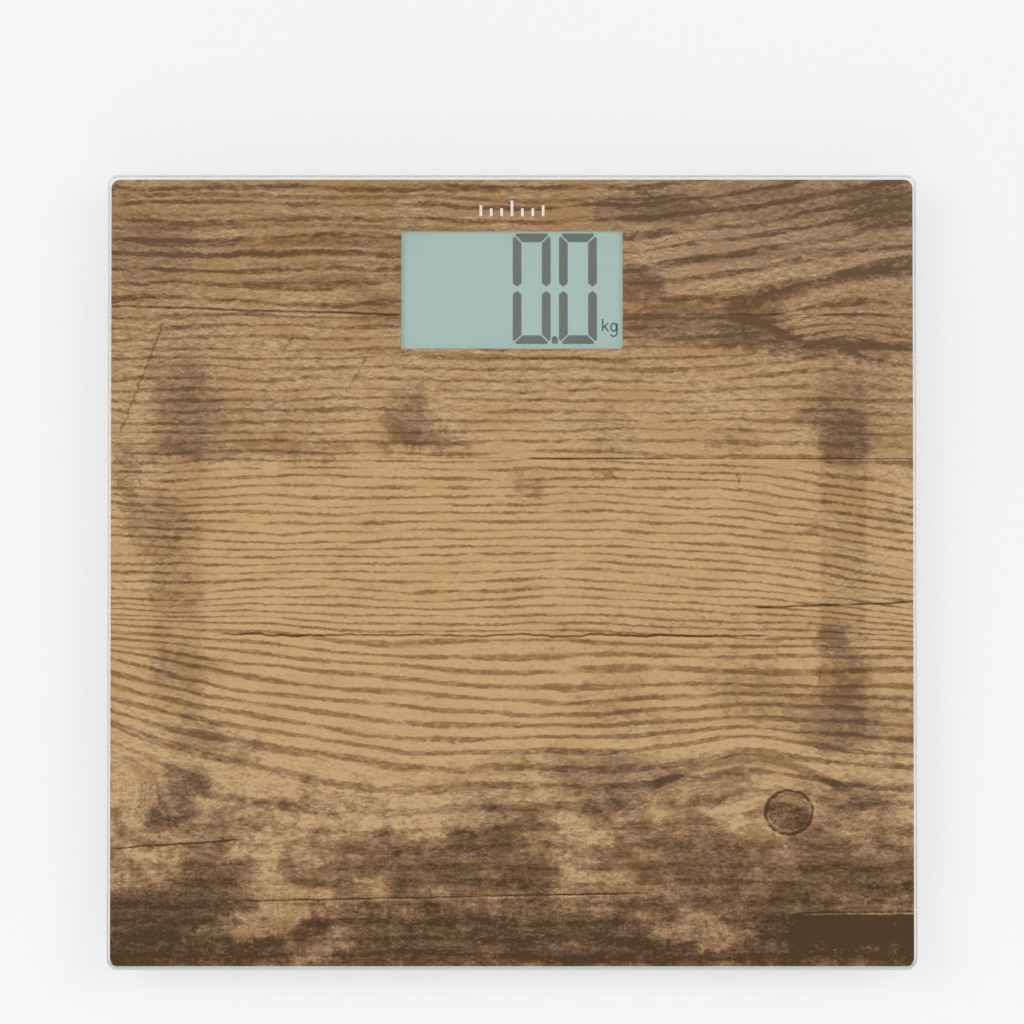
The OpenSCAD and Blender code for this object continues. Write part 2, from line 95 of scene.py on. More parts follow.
class Val:
    """One socket of a node tree, with the arithmetic that the materials are written in."""

    def __init__(self, shader, socket):
        self.shader = shader
        self.socket = socket

    def math(self, operation, *others, clamp=False):
        node = self.shader.nodes.new("ShaderNodeMath")
        node.operation = operation
        node.use_clamp = clamp
        for socket, value in zip(node.inputs, (self,) + others):
            self.shader.feed(socket, value)
        return Val(self.shader, node.outputs[0])

    def __add__(self, other):
        return self.math("ADD", other)

    def __sub__(self, other):
        return self.math("SUBTRACT", other)

    def __mul__(self, other):
        return self.math("MULTIPLY", other)

    def __truediv__(self, other):
        return self.math("DIVIDE", other)

    def abs(self):
        return self.math("ABSOLUTE")

    def clamped(self):
        return self.math("ADD", 0.0, clamp=True)

    def above(self, low):
        """How far the value is above low, or 0."""
        return (self - low).math("MAXIMUM", 0.0)

    def ease(self, start, end, at_start=0.0, at_end=1.0):
        """Goes smoothly from at_start to at_end as the value goes from start to end."""
        node = self.shader.nodes.new("ShaderNodeMapRange")
        node.interpolation_type = "SMOOTHSTEP"
        for name, value in (("Value", self), ("From Min", start), ("From Max", end),
                            ("To Min", at_start), ("To Max", at_end)):
            self.shader.feed(node.inputs[name], value)
        return Val(self.shader, node.outputs["Result"])

    def between(self, low, high, soft):
        """1 between low and high, with soft edges inside them."""
        return self.ease(low, low + soft) * self.ease(high - soft, high, 1.0, 0.0)

    def ramp(self, *stops):
        """A colour from (place, sRGB colour of 0 to 255) stops."""
        node = self.shader.nodes.new("ShaderNodeValToRGB")
        elements = node.color_ramp.elements
        while len(elements) < len(stops):
            elements.new(0.5)
        for element, (place, colour) in zip(elements, stops):
            element.position = place
            element.color = paint(*colour)
        self.shader.feed(node.inputs["Fac"], self)
        return Val(self.shader, node.outputs["Color"])


class Shader:
    """The node tree of one material."""

    def __init__(self, name):
        self.material = bpy.data.materials.new(name)
        self.material.use_nodes = True
        self.nodes = self.material.node_tree.nodes
        self.links = self.material.node_tree.links
        self.nodes.clear()

    def feed(self, socket, value):
        if isinstance(value, Val):
            self.links.new(value.socket, socket)
        else:
            socket.default_value = value

    def node(self, kind, inputs=None, output=0, **settings):
        made = self.nodes.new("ShaderNode" + kind)
        for name, value in settings.items():
            setattr(made, name, value)
        for name, value in (inputs or {}).items():
            self.feed(made.inputs[name], value)
        return Val(self, made.outputs[output])

    def place_mm(self):
        """x, y and z of the shaded point at rest, in millimetres."""
        point = self.node("TexCoord", output="Object")
        parts = self.nodes.new("ShaderNodeSeparateXYZ")
        self.feed(parts.inputs[0], point)
        return [Val(self, out) * (1 / MM) for out in parts.outputs]

    def facing(self):
        """z of the surface normal: 1 on a face that looks up, -1 on one that looks down."""
        normal = self.node("NewGeometry", output="Normal")
        parts = self.nodes.new("ShaderNodeSeparateXYZ")
        self.feed(parts.inputs[0], normal)
        return Val(self, parts.outputs[2])

    def point(self, x, y, z=0.0):
        return self.node("CombineXYZ", {"X": x, "Y": y, "Z": z})

    def noise(self, x, y, detail=2.0, rough=0.5, seed=0.0):
        """Flat noise, from about -1 to 1, with cells about one unit wide."""
        at = self.point(x + 17.3 * seed, y - 9.1 * seed)
        fac = self.node("TexNoise", {"Vector": at, "Scale": 1.0, "Detail": detail, "Roughness": rough},
                        noise_dimensions="2D")
        return fac.math("MULTIPLY_ADD", 2.0, -1.0)

    def grit(self, size_mm, detail=3.0):
        """Solid noise, from 0 to 1, with cells about size_mm wide."""
        point = self.node("TexCoord", output="Object")
        return self.node("TexNoise", {"Vector": point, "Scale": 1 / (size_mm * MM), "Detail": detail})

    def blob(self, at, middle, size, tilt=0.0, kind="QUADRATIC_SPHERE"):
        """1 at the middle of an ellipse and 0 at its edge."""
        mapped = self.node("Mapping", {"Vector": at, "Location": (middle[0], middle[1], 0),
                                       "Rotation": (0, 0, math.radians(tilt)),
                                       "Scale": (size[0], size[1], 1)}, vector_type="TEXTURE")
        return self.node("TexGradient", {"Vector": mapped}, output="Fac",
                         gradient_type=kind)

    def mix(self, share, first, second):
        made = self.nodes.new("ShaderNodeMix")
        made.data_type = "RGBA"
        for socket, value in zip((made.inputs[0], made.inputs[6], made.inputs[7]), (share, first, second)):
            self.feed(socket, value)
        return Val(self, made.outputs[2])

    def bump(self, height, depth_mm, strength=1.0):
        return self.node("Bump", {"Height": height, "Distance": depth_mm * MM, "Strength": strength})

    def finish(self, surface):
        output = self.nodes.new("ShaderNodeOutputMaterial")
        self.feed(output.inputs["Surface"], surface)
        return self.material

    def principled(self, colour, roughness, **more):
        inputs = {"Base Color": colour, "Roughness": roughness}
        inputs.update({name.replace("_", " "): value for name, value in more.items()})
        return self.node("BsdfPrincipled", inputs)


def paint(red, green, blue):
    """Scene-linear colour from an sRGB colour of 0 to 255."""
    def linear(c):
        c /= 255
        return c / 12.92 if c <= 0.04045 else ((c + 0.055) / 1.055) ** 2.4
    return (linear(red), linear(green), linear(blue), 1.0)


# ---------------------------------------------------------------- wood print

# Bands across the grain: lower edge and distance between growth lines in each
GRAIN_BANDS = ((-152, 7.0), (-100, 7.5), (-72, 5.2), (-24, 3.25), (44, 4.0), (98, 6.2), (152, 6.2))

# Stains, dark patches and pale patches: middle x and y, half length and half height, tilt in degrees,
# and strength
STAINS = (
    (-136, 121, 26, 20, 0, 0.22), (-44, 102, 26, 9, 0, 0.28), (-122, 62, 17, 30, 0, 0.26),
    (-39, 59, 13, 15, 0, 0.42), (-32, 50, 22, 6, -5, 0.4), (-95, 60, 34, 13, 0, 0.2),
    (-100, 47, 62, 6, 0, 0.3), (-144, 36, 6, 20, 5, 0.3), (-132, 17, 18, 18, 0, 0.3),
    (50, 139, 26, 9, 0, 0.25), (105, 141, 80, 12, 0, 0.26), (141, 140, 20, 16, 0, 0.26),
    (47, 110, 14, 7, -8, 0.5),
    (64, 95, 44, 12, 0, 0.42), (91, 95, 18, 18, -30, 0.3), (124, 86, 50, 6.5, -3, 0.4),
    (137, 98, 34, 15, 10, 0.16), (81, 50, 14, 8, 0, 0.22), (37, 53, 12, 12, 0, 0.2),
    (134, 57, 36, 24, -25, 0.2), (125, 51, 15, 13, 0, 0.32), (111, 60, 9, 7, 0, 0.24),
    (34, 38, 6, 3, 0, 0.4), (6, 33, 10, 8, 0, 0.24), (112, 16, 7, 5, 0, 0.35), (143, 21, 13, 4, 0, 0.25),
    (-126, -8, 14, 14, 0, 0.22), (-124, -37, 17, 12, -15, 0.28), (-120, -60, 13, 13, -20, 0.3),
    (-105, -67, 16, 7, -8, 0.35), (-122, -81, 14, 11, 0, 0.5), (-127, -92, 11, 6, 0, 0.3),
    (-72, -88, 46, 4, 3, 0.32), (-110, -97, 44, 6, -6, 0.26), (120, -24, 9, 9, 40, 0.36),
    (126, -40, 13, 14, 0, 0.36), (121, -58, 18, 18, 0, 0.38), (144, -58, 20, 16, 0, 0.25),
    (92, -47, 30, 16, -20, 0.3), (38, -46, 24, 10, 0, 0.18), (45, -58, 30, 8, -4, 0.22),
    (22, -72, 40, 6, 2, 0.26), (42, -79, 36, 10, 0, 0.36), (37, -89, 14, 8, 0, 0.35),
    (128, -87, 20, 12, 0, 0.34), (-11, -94, 22, 18, 0, 0.34), (70, -24, 80, 12, 0, 0.14),
    (78, -82, 24, 7, 24, 0.3),
)
DARK_PATCHES = (
    (-112, -120, 20, 17, 0, 0.5), (-142, -137, 26, 16, 15, 0.6), (-122, -129, 34, 11, 0, 0.4),
    (-116, -146, 50, 8, 4, 0.5), (-86, -139, 24, 4, 18, 0.5), (-79, -111, 10, 12, 0, 0.45),
    (-40, -109, 36, 15, -8, 0.42), (-12, -111, 22, 18, 0, 0.24), (-34, -139, 66, 16, 3, 0.34),
    (6, -108, 15, 22, 0, 0.36), (62, -107, 34, 16, 0, 0.5), (86, -116, 30, 16, 0, 0.24),
    (115, -108, 16, 18, 20, 0.6), (138, -115, 26, 14, 0, 0.5), (104, -130, 24, 14, 20, 0.42),
    (130, -140, 50, 13, 0, 0.55), (26, -139, 44, 13, 0, 0.3), (60, -147, 70, 6, 0, 0.3),
)
PALE_PATCHES = (
    (-141, -86, 13, 18, 0, 0.22), (-88, -112, 24, 20, 0, 0.32), (-136, -115, 20, 14, 0, 0.1),
    (-52, -80, 70, 9, 0, 0.1), (-40, -91, 44, 12, 0, 0.36), (-91, -133, 26, 13, 10, 0.4),
    (-74, -144, 24, 8, 20, 0.3), (28, -105, 20, 9, 0, 0.14), (52, -114, 18, 16, 0, 0.14),
    (80, -92, 20, 14, 30, 0.22), (74, -137, 24, 8, 0, 0.3), (143, -95, 18, 9, -10, 0.16),
    (122, -73, 18, 8, -10, 0.12),
)

# Growth lines that stand out: height, first and last x, thickness, slope and strength
STRONG_LINES = (
    (144.5, -152, 60, 1.4, -0.01, 0.26), (148, -120, 20, 0.9, 0, 0.14), (137.5, -152, -20, 1.0, -0.015, 0.14),
    (132.4, -152, -10, 1.5, -0.005, 0.22), (126.6, -140, -41, 2.4, -0.012, 0.28),
    (121.8, -120, -41, 1.2, 0.015, 0.18), (118.4, -95, -41, 1.7, 0.01, 0.18),
    (112.2, -100, -41, 2.2, 0.02, 0.24), (84.0, -52, 45, 1.6, -0.035, 0.24),
)

# Cracks: first and last x, height at the first, slope, width, waviness, depth and pale rim
CRACKS = (
    (-154, -38, 102.0, -0.031, 0.42, 0.5, 0.62, 0.1), (40, 154, 98.6, 0.0, 0.22, 0.3, 0.3, 0.0),
    (-50, 3, 43.7, 0.0, 0.2, 0.1, 0.25, 0.16), (3, 62, 43.5, 0.0, 0.35, 0.1, 0.75, 0.3),
    (62, 154, 43.4, 0.0, 0.22, 0.1, 0.35, 0.3), (88, 154, -13.6, 0.035, 0.42, 0.5, 0.65, 0.0),
    (-112, 98, -23.9, -0.002, 0.4, 1.5, 0.66, 0.2), (-152, -100, -105.6, 0.07, 0.32, 0.6, 0.6, 0.0),
    (-102, 52, -125.4, 0.02, 0.3, 0.6, 0.5, 0.16), (-34, 40, -123.0, 0.0, 0.2, 0.5, 0.3, 0.1),
    (106, 154, -129.8, 0.01, 0.3, 0.3, 0.3, 0.75), (-60, 30, 124.3, 0.0, 0.12, 0.2, 0.2, 0.0),
)

# Scratches: top, bottom, width and depth
SCRATCHES = (
    ((-130.5, 96), (-147, 53), 0.5, 0.32), ((-82, 91), (-85.5, 84), 0.6, 0.35),
    ((-53, 86), (-61, 70), 0.35, 0.22), ((85.5, 99), (87.5, 88), 0.6, 0.35),
    ((85, 38), (84.5, 33), 0.35, 0.4),
)
KNOT_AT = (103.6, -91.6)
KNOT_R = 8.8


def grain_height(s, x, y):
    """Where a point lies across the grain, once the sag, fall, rise and arch of the lines are taken out."""
    left = (x * -1.0).above(0.0) / 150
    sag = left * left * y.ease(-8, -38) * y.ease(-98, -74) * 21
    right = x.above(28) / 120
    fall = right * right * y.ease(-34, -14) * y.ease(52, 30) * 10.5
    rise = x.above(52) * y.ease(96, 122) * 0.17
    at = s.point(x, y)
    arch = s.blob(at, (86, -72), (66, 44)) * 9 + s.blob(at, (102, -90), (30, 22)) * 6
    swell = s.blob(at, (124, 88), (60, 34), 10) * 9
    corner = s.blob(at, (-160, -84), (40, 40)) * 26
    drift = s.noise(x / 60, y / 24, 1.0, seed=1) * 2.0 + s.noise(x / 14, y / 6, 2.0, seed=2) * 0.6
    ragged = s.noise(x / 1.7, y / 0.8, 2.0, 0.6, seed=3) * 0.6
    return y - sag + fall - rise - arch - swell - corner + drift + ragged


def growth_lines(s, x, height):
    """Darkness of the growth lines, which are broken in places and fade towards the lower edge."""
    turns = None
    for (low, spacing), (high, _) in zip(GRAIN_BANDS, GRAIN_BANDS[1:]):
        part = height.math("MAXIMUM", float(low)).math("MINIMUM", float(high)) * (1 / spacing)
        turns = part if turns is None else turns + part
    turns = turns + s.noise(x / 90, height / 11, 1.0, seed=4) * 0.4
    wave = (turns * (2 * math.pi)).math("SINE")
    thick = s.noise(x / 24, height / 2.6, 2.0, 0.6, seed=5) * 1.3 + height.ease(-10, -28, 0.0, 0.2)
    lines = (wave + thick).ease(0.15, 1.15)
    broken = s.noise(x / 5, height / 1.5, 3.0, 0.65, seed=6).ease(-0.4, 0.15, 0.45, 1.0)
    strength = height.ease(36, 60, 0.95, 0.75) * height.ease(90, 104, 1.0, 1.3)
    return lines * broken * (strength * height.ease(-78, -100, 1.0, 0.4))


def strong_lines(s, x, y, height):
    """Darkness of the growth lines that stand out."""
    total = None
    for level, start, end, thickness, slope, strength in STRONG_LINES:
        off = (height - level - (x - start) * slope).abs()
        line = off.ease(0.25 * thickness, 0.85 * thickness, strength, 0.0) * x.between(start - 8, end + 8, 14)
        total = line if total is None else total + line
    return total * s.noise(x / 9, y / 2.2, 2.0, 0.6, seed=7).ease(-0.6, 0.3, 0.45, 1.15)


def cracks(s, x, y):
    """Darkness of the long cracks, and the light that their lower rims catch."""
    dark, light = None, None
    wander = s.noise(x / 17, y * 0.01, 4.0, 0.6, seed=8)
    gaps = s.noise(x / 9, y / 40, 2.0, 0.6, seed=9).ease(-0.6, 0.0, 0.4, 1.0)
    for start, end, level, slope, width, waves, depth, rim in CRACKS:
        off = y - level - (x - start) * slope - wander * waves
        along = x.between(start, end, 6)
        line = off.abs().ease(0.35 * width, 1.5 * width, depth, 0.0) * along
        dark = line if dark is None else dark + line
        if rim:
            edge = (off + 2.6 * width).abs().ease(0.3 * width, 1.4 * width, rim, 0.0) * along
            light = edge if light is None else light + edge
    return dark * gaps, light * gaps


def patches(s, at, rows):
    """Sum of full-bodied ellipses, each flat in its middle and fading out past its own half sizes."""
    total = None
    for x, y, length, height, tilt, strength in rows:
        disc = s.blob(at, (x, y), (length, height), tilt, "SPHERICAL").math("MULTIPLY", 1.9, clamp=True)
        patch = disc * strength
        total = patch if total is None else total + patch
    return total


def knot(s, x, y):
    """Darkness of the knot: a broken ring, with a mottled grey core and faint rings inside."""
    across, up = x - KNOT_AT[0], y - KNOT_AT[1]
    radius = (across * across + up * up * 1.12).math("SQRT") + s.noise(x / 4, y / 4, 2.0, 0.6, seed=10) * 0.9
    ring = (radius - KNOT_R).abs().ease(0.15, 0.85, 0.7, 0.0)
    ring = ring * s.noise(x / 3, y / 3, 2.0, seed=11).ease(-0.7, 0.1, 0.5, 1.0)
    inner = (radius * 2.1).math("SINE").ease(0.2, 1.0, 0.0, 0.1)
    core = radius.ease(KNOT_R - 0.8, KNOT_R, 1.0, 0.0) * (inner + 0.27)
    return ring + core


def dark_bands(s, x, y):
    """The wide band that climbs to the right above the display's right side, and the arc in the corner."""
    wobble = s.noise(x / 9, y / 5, 2.0, 0.6, seed=12) * 1.2
    climb = x.ease(78, 140, 102.5, 114.5)
    band = (y - climb + wobble).abs().ease(1.2, 3.4, 0.34, 0.0) * x.ease(76, 92)
    upper = (y - x.ease(60, 152, 119.5, 124.5) + wobble).abs().ease(0.5, 1.9, 0.2, 0.0) * x.ease(56, 70)
    under = (y - x.ease(84, 116, 97.5, 86.5) + wobble).abs().ease(0.8, 2.6, 0.26, 0.0) * x.between(80, 154, 8)
    arch = s.blob(s.point(x, y), (88, -80), (56, 26)).ease(0.0, 0.2)
    over = (y + 71.5 + (x - 88) * (x - 88) * 0.0085 + wobble * 0.6).abs().ease(0.8, 2.6, 0.34, 0.0)
    return band + upper + under + over * arch


def scratches(s, x, y):
    """A slanting scratch at the left and a few shorter ones, all across the grain."""
    total = None
    for top, bottom, width, depth in SCRATCHES:
        lean = (top[0] - bottom[0]) / (top[1] - bottom[1])
        off = x - bottom[0] - (y - bottom[1]) * lean + s.noise(x / 3, y / 3.5, 3.0, 0.7, seed=13) * 2.2
        line = off.abs().ease(0.3 * width, 1.6 * width, depth, 0.0) * y.between(bottom[1] - 1, top[1] + 1, 3)
        total = line if total is None else total + line
    return total


def wood_tone(s, x, y):
    """Brightness of the print, from 0 (darkest brown) to 1 (palest tan), and how grey it has aged."""
    warp_x = s.noise(x / 8, y / 6, 4.0, 0.7, seed=14) * 10
    warp_y = s.noise(x / 8, y / 6, 4.0, 0.7, seed=15) * 8
    at = s.point(x + warp_x, y + warp_y)
    height = grain_height(s, x, y)

    # Noises, from broad clouds to fine crackle; those along height follow the grain
    mottle = s.noise(x / 5, y / 3, 4.0, 0.72, seed=16)
    crackle = s.noise(x / 1.6, y / 0.9, 3.0, 0.75, seed=17)
    dashes = s.noise(x / 4.5, height / 0.95, 3.0, 0.65, seed=18)
    cloud = s.noise(x / 26, y / 12, 2.0, 0.6, seed=19)
    curls = s.noise(x / 5.5, y / 3.6, 3.0, 0.6, seed=23)
    relief = s.noise(x / 3.2, y / 1.9, 2.0, 0.6, seed=25)
    relief = relief - s.noise(x / 3.2, (y + 0.7) / 1.9, 2.0, 0.6, seed=25)
    smudge = s.noise(x / 12, y / 9, 5.0, 0.66, seed=26)
    crust = s.noise(x / 2.7, y / 2.3, 4.0, 0.8, seed=29)

    # Where the wood is worn or stained: both sides, the rear, the lower edge and the patches above
    lower = y.ease(-84, -132)
    worn = y.ease(38, 62, 0.0, 0.7) + x.abs().ease(84, 140, 0.0, 0.4) + y.ease(-50, -92) + cloud * 1.3
    worn = worn.clamped()
    stain = patches(s, at, STAINS)
    dark = patches(s, at, DARK_PATCHES)
    pale = patches(s, at, PALE_PATCHES)
    across = x + mottle * 3.0
    columns = across.between(-137, -113, 5) * y.between(-66, 96, 24) * 0.7
    columns = columns + across.between(114, 134, 3) * y.between(-76, 82, 14)

    cover = (stain * 1.9 + mottle * 1.5 + crackle * 0.5).ease(0.3, 0.8)
    blotched = cover * 0.24 + stain * 0.3
    # The lower edge flakes in three steps of darkness
    smear = dark * 3.0 - pale * 3.0 + smudge * 3.4 + crust * 0.8 + y.ease(-66, -104) * 0.65
    patchy = smear.ease(0.05, 0.17, 0.0, 0.22) + smear.ease(0.82, 0.96, 0.0, 0.18)
    patchy = (patchy + smear.ease(1.75, 1.9, 0.0, 0.15)) * y.ease(-62, -100)
    streaks = s.noise(x / 1.4, y / 9, 2.0, 0.6, seed=28) * lower

    # The tone: even wood, then what darkens or lightens it
    tone = y.ease(10, 150, 0.98, 0.73) - y.ease(-92, -150, 0.0, 0.36) - x.abs().ease(96, 152, 0.0, 0.03)
    tone = tone - growth_lines(s, x, height) * (cover * -0.14 + 0.5) - strong_lines(s, x, y, height)
    tone = tone - blotched - patchy - columns * 0.14 + pale * 0.14
    tone = tone - dark_bands(s, x, y) - knot(s, x, y) - scratches(s, x, y)
    tone = tone + dashes * (worn * 0.22 + 0.1 - lower * 0.34) + crackle * (worn * 0.16 + 0.1)
    tone = tone + cloud * 0.12 + streaks * 0.14
    tone = tone + mottle * (worn * 0.26 + 0.06) + relief * (worn * 0.2 + 0.05)
    tone = tone - curls.abs().ease(0.0, 0.045, 0.12, 0.0) * worn
    tone = tone + (curls - 0.16).abs().ease(0.0, 0.04, 0.08, 0.0) * worn
    specks = s.noise(x / 1.8, height / 0.55, 2.0, 0.7, seed=24).ease(0.34, 0.6, 0.0, 0.3)
    flecks = s.noise(x / 1.9, y / 1.4, 3.0, 0.7, seed=27).ease(0.2, 0.42, 0.0, 0.3) * y.ease(-112, -136)
    # The front right corner is nearly black below its crack
    corner = (x + crust * 10 + smudge * 8).between(103, 158, 4)
    corner = corner * (y + crust * 5 + smudge * 6).ease(-145, -141) * y.ease(-129.5, -130.5)
    cut, rim = cracks(s, x, y)
    aged = (worn * 0.7 + cover * 0.4 + x.ease(20, 60) * y.ease(104, 126) * 0.9).clamped()
    tone = tone - specks + flecks + crust * y.ease(-50, -90, 0.0, 0.2)
    tone = tone.math("MAXIMUM", y.ease(-60, -100, 0.2, 0.0))
    return tone - corner * 0.34 - cut + rim, aged


# sRGB colours of the print at tones from 0 to 1
FRESH_WOOD = (
    (0.05, (86, 62, 40)), (0.28, (118, 85, 56)), (0.5, (147, 110, 74)), (0.72, (171, 134, 93)),
    (0.9, (192, 156, 113)), (1.0, (203, 167, 122)),
)
GREY_WOOD = (
    (0.0, (78, 58, 41)), (0.28, (112, 87, 66)), (0.5, (139, 110, 84)), (0.72, (165, 133, 102)),
    (0.9, (188, 155, 119)), (1.0, (201, 167, 128)),
)


def wood_print():
    """The printed film: wood on the side that shows through the glass, and a dark backing below."""
    s = Shader("wood_print")
    x, y, _ = s.place_mm()
    tone, aged = wood_tone(s, x, y)
    tone = tone.clamped()
    fresh = tone.ramp(*FRESH_WOOD)
    grey = tone.ramp(*GREY_WOOD)
    front = s.mix(aged, fresh, grey)
    backing = s.grit(0.6).ramp((0.3, (58, 50, 44)), (0.7, (70, 61, 54)))
    colour = s.mix(s.facing().ease(-0.6, -0.4), backing, front)
    surface = s.principled(colour, 0.55, Normal=s.bump(s.grit(0.4), 0.01), Specular_IOR_Level=0.0)
    return s.finish(surface)


# ---------------------------------------------------------------- other materials

def glass():
    """Clear on its flat faces, finely ground on its edges. Lamps shine through it to the print."""
    s = Shader("platform_glass")
    edge = s.facing().abs().ease(0.995, 0.9)
    grain = s.grit(0.5).math("MULTIPLY_ADD", 0.3, 0.25)
    colour = s.mix(edge, (0.985, 0.995, 0.988, 1), (0.9, 0.975, 0.95, 1))
    clear = s.principled(colour, edge * grain, IOR=1.52, Transmission_Weight=edge * -0.5 + 1.0)
    lamp = s.node("BsdfTransparent", {"Color": (0.985, 0.99, 0.985, 1)})
    shadow = s.node("LightPath", output="Is Shadow Ray")
    return s.finish(s.node("MixShader", {0: shadow, 1: clear, 2: lamp}))


def moulded(name, colour, roughness=0.5, grain_mm=0.35, depth_mm=0.02, variation=0.12):
    """Moulded plastic or rubber: a fine spark-eroded texture with slow changes of tone."""
    s = Shader(name)
    fine = s.grit(grain_mm, 4.0)
    slow = s.grit(18.0, 2.0)
    shade = (fine * 0.5 + slow * 0.5).clamped()
    dull = [c * (1 - variation) for c in colour]
    bright = [min(255, c * (1 + variation)) for c in colour]
    tint = shade.ramp((0.3, dull), (0.7, bright))
    rough = (fine * 0.25 + (roughness - 0.12)).clamped()
    return s.finish(s.principled(tint, rough, Normal=s.bump(fine, depth_mm)))


def metal(name, colour, roughness=0.3, brushed=True):
    """Rolled or plated metal: fine streaks along the sheet and a slightly uneven shine."""
    s = Shader(name)
    x, y, z = s.place_mm()
    streaks = s.noise(x * (0.15 if brushed else 1.2), (y + z) * 6.0, 3.0, seed=20)
    slow = s.grit(6.0, 2.0)
    tint = (streaks * 0.2 + slow).clamped().ramp((0.25, [c * 0.86 for c in colour]), (0.75, colour))
    rough = (streaks * 0.1 + slow * 0.15 + (roughness - 0.07)).clamped()
    return s.finish(s.principled(tint, rough, Metallic=1.0, Normal=s.bump(streaks, 0.004)))


def foam(name, colour):
    s = Shader(name)
    point = s.node("TexCoord", output="Object")
    cells = s.node("TexVoronoi", {"Vector": point, "Scale": 2200.0}, output="Distance")
    # The pores are painted darker in their middles, where the bump sinks them: painted shade in the pores.
    tint = cells.ramp((0.0, [c * 0.7 for c in colour]), (0.8, colour))
    return s.finish(s.principled(tint, 0.85, Normal=s.bump(cells, 0.08)))


def liquid_crystal():
    """Reflective grey-green panel with a faint sparkle of its rear reflector. It glows with painted light,
    though it has no backlight, so the shade of its recess stays faint.
    """
    s = Shader("lcd_reflector_painted_glow")
    sparkle = s.grit(0.25, 2.0)
    slow = s.grit(30.0, 1.0)
    shade = (sparkle * 0.4 + slow * 0.6).clamped()
    tint = shade.ramp((0.3, (121, 137, 134)), (0.7, (124, 140, 137)))
    # Painted light: the panel has no backlight, yet it glows, so the shade in its recess stays faint; the
    # reflector's sparkle is painted into this glow too.
    glow = shade.ramp((0.3, (172, 195, 189)), (0.7, (176, 199, 193)))
    return s.finish(s.principled(tint, 0.42, Normal=s.bump(sparkle, 0.002), Emission_Color=glow,
                                 Emission_Strength=0.5))


def solder_mask():
    """Green board with copper tracks under the mask, in a loose pattern of its own."""
    s = Shader("solder_mask")
    x, y, _ = s.place_mm()
    lanes = (y * 1.6 + s.noise(x / 9, y / 9, 0.0, seed=21).math("ROUND") * 1.5).math("SINE").ease(0.3, 0.6)
    lots = s.noise(x / 12, y / 5, 1.0, seed=22).ease(0.0, 0.1)
    tint = s.mix(lanes * lots, paint(26, 92, 52), paint(46, 124, 72))
    return s.finish(s.principled(tint, 0.32, Normal=s.bump(lanes * lots, 0.03)))


def zebra_rubber():
    s = Shader("zebra_rubber")
    x, _, _ = s.place_mm()
    stripes = (x * 12.0).math("SINE").ease(-0.1, 0.1)
    tint = s.mix(stripes, paint(32, 28, 30), paint(205, 140, 150))
    return s.finish(s.principled(tint, 0.6))


FLOOR_GLOW = 0.73  # the floor is a lit table, so shadows on it stay faint
FLOOR_Z = -0.3 * MM  # just under the pads


def studio_floor():
    """Pale matt table top, clear when it is seen from below, so the underside of the scale shows."""
    s = Shader("studio_floor")
    slow = s.grit(900.0, 2.0)
    fine = s.grit(3.0, 2.0)
    shade = (slow * 0.85 + fine * 0.15).clamped()
    tint = shade.ramp((0.35, (158, 158, 160)), (0.65, (163, 163, 164)))
    glow = shade.ramp((0.35, (238, 238, 239)), (0.65, (241, 241, 242)))
    top = s.principled(tint, 0.7, Emission_Color=glow, Emission_Strength=FLOOR_GLOW, Specular_IOR_Level=0.1)
    below = s.node("BsdfTransparent")
    back = s.node("NewGeometry", output="Backfacing")
    return s.finish(s.node("MixShader", {0: back, 1: top, 2: below}))


FINISHES = {
    "display_tape": lambda: foam("black_foam_tape", (44, 44, 45)),
    "lcd_foam": lambda: foam("lcd_foam_strip", (58, 58, 60)),
    "base_adhesive": lambda: foam("adhesive_foam", (214, 213, 205)),
    "display_frame": lambda: moulded("housing_plastic", (52, 53, 56), 0.5),
    "display_cover": lambda: moulded("cover_plastic", (50, 51, 54), 0.52),
    "battery_door": lambda: moulded("door_plastic", (55, 56, 59), 0.5),
    "sensor_base": lambda: moulded("foot_base_plastic", (50, 51, 54), 0.5),
    "foot_cap": lambda: moulded("foot_cap_plastic", (60, 61, 64), 0.48),
    "cable_duct": lambda: moulded("duct_plastic", (50, 51, 54), 0.5),
    "foot_pad": lambda: moulded("foot_rubber", (108, 111, 114), 0.78, 0.5, 0.05, 0.08),
    "unit_button": lambda: moulded("button_plastic", (140, 144, 148), 0.3, 0.3, 0.006, 0.05),
    "tact_switch": lambda: moulded("switch_plastic", (30, 30, 31), 0.45),
    "controller_chip": lambda: moulded("potting_resin", (18, 18, 19), 0.2, 2.0, 0.1, 0.2),
    "board_capacitors": lambda: moulded("capacitor_ceramic", (178, 138, 92), 0.45, 0.2, 0.01),
    "rating_label": lambda: moulded("blank_label", (200, 202, 203), 0.35, 0.15, 0.003, 0.03),
    "lcd_panel": liquid_crystal,
    "zebra_strip": zebra_rubber,
    "circuit_board": solder_mask,
    "watch_crystal": lambda: metal("crystal_can", (198, 202, 206), 0.22),
    "coin_cell": lambda: metal("coin_cell_steel", (196, 199, 202), 0.26, False),
    "cover_screws": lambda: metal("cover_screw_steel", (184, 187, 191), 0.32, False),
    "board_screws": lambda: metal("board_screw_steel", (184, 187, 191), 0.32, False),
    "contact_positive": lambda: metal("contact_plus_brass", (214, 192, 120), 0.28),
    "contact_negative": lambda: metal("contact_minus_brass", (214, 192, 120), 0.28),
    "decor_film": wood_print,
}


def finish_cad_nodes():
    """Gives every carried-over CAD node the procedural material of its kind."""
    made = {}
    for name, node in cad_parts.items():
        kind = name
        for foot in FEET:
            kind = kind.removesuffix("_" + foot)
        if kind not in FINISHES:
            continue
        if kind not in made:
            made[kind] = FINISHES[kind]()
        node.data.materials.clear()
        node.data.materials.append(made[kind])


# ---------------------------------------------------------------- meshes

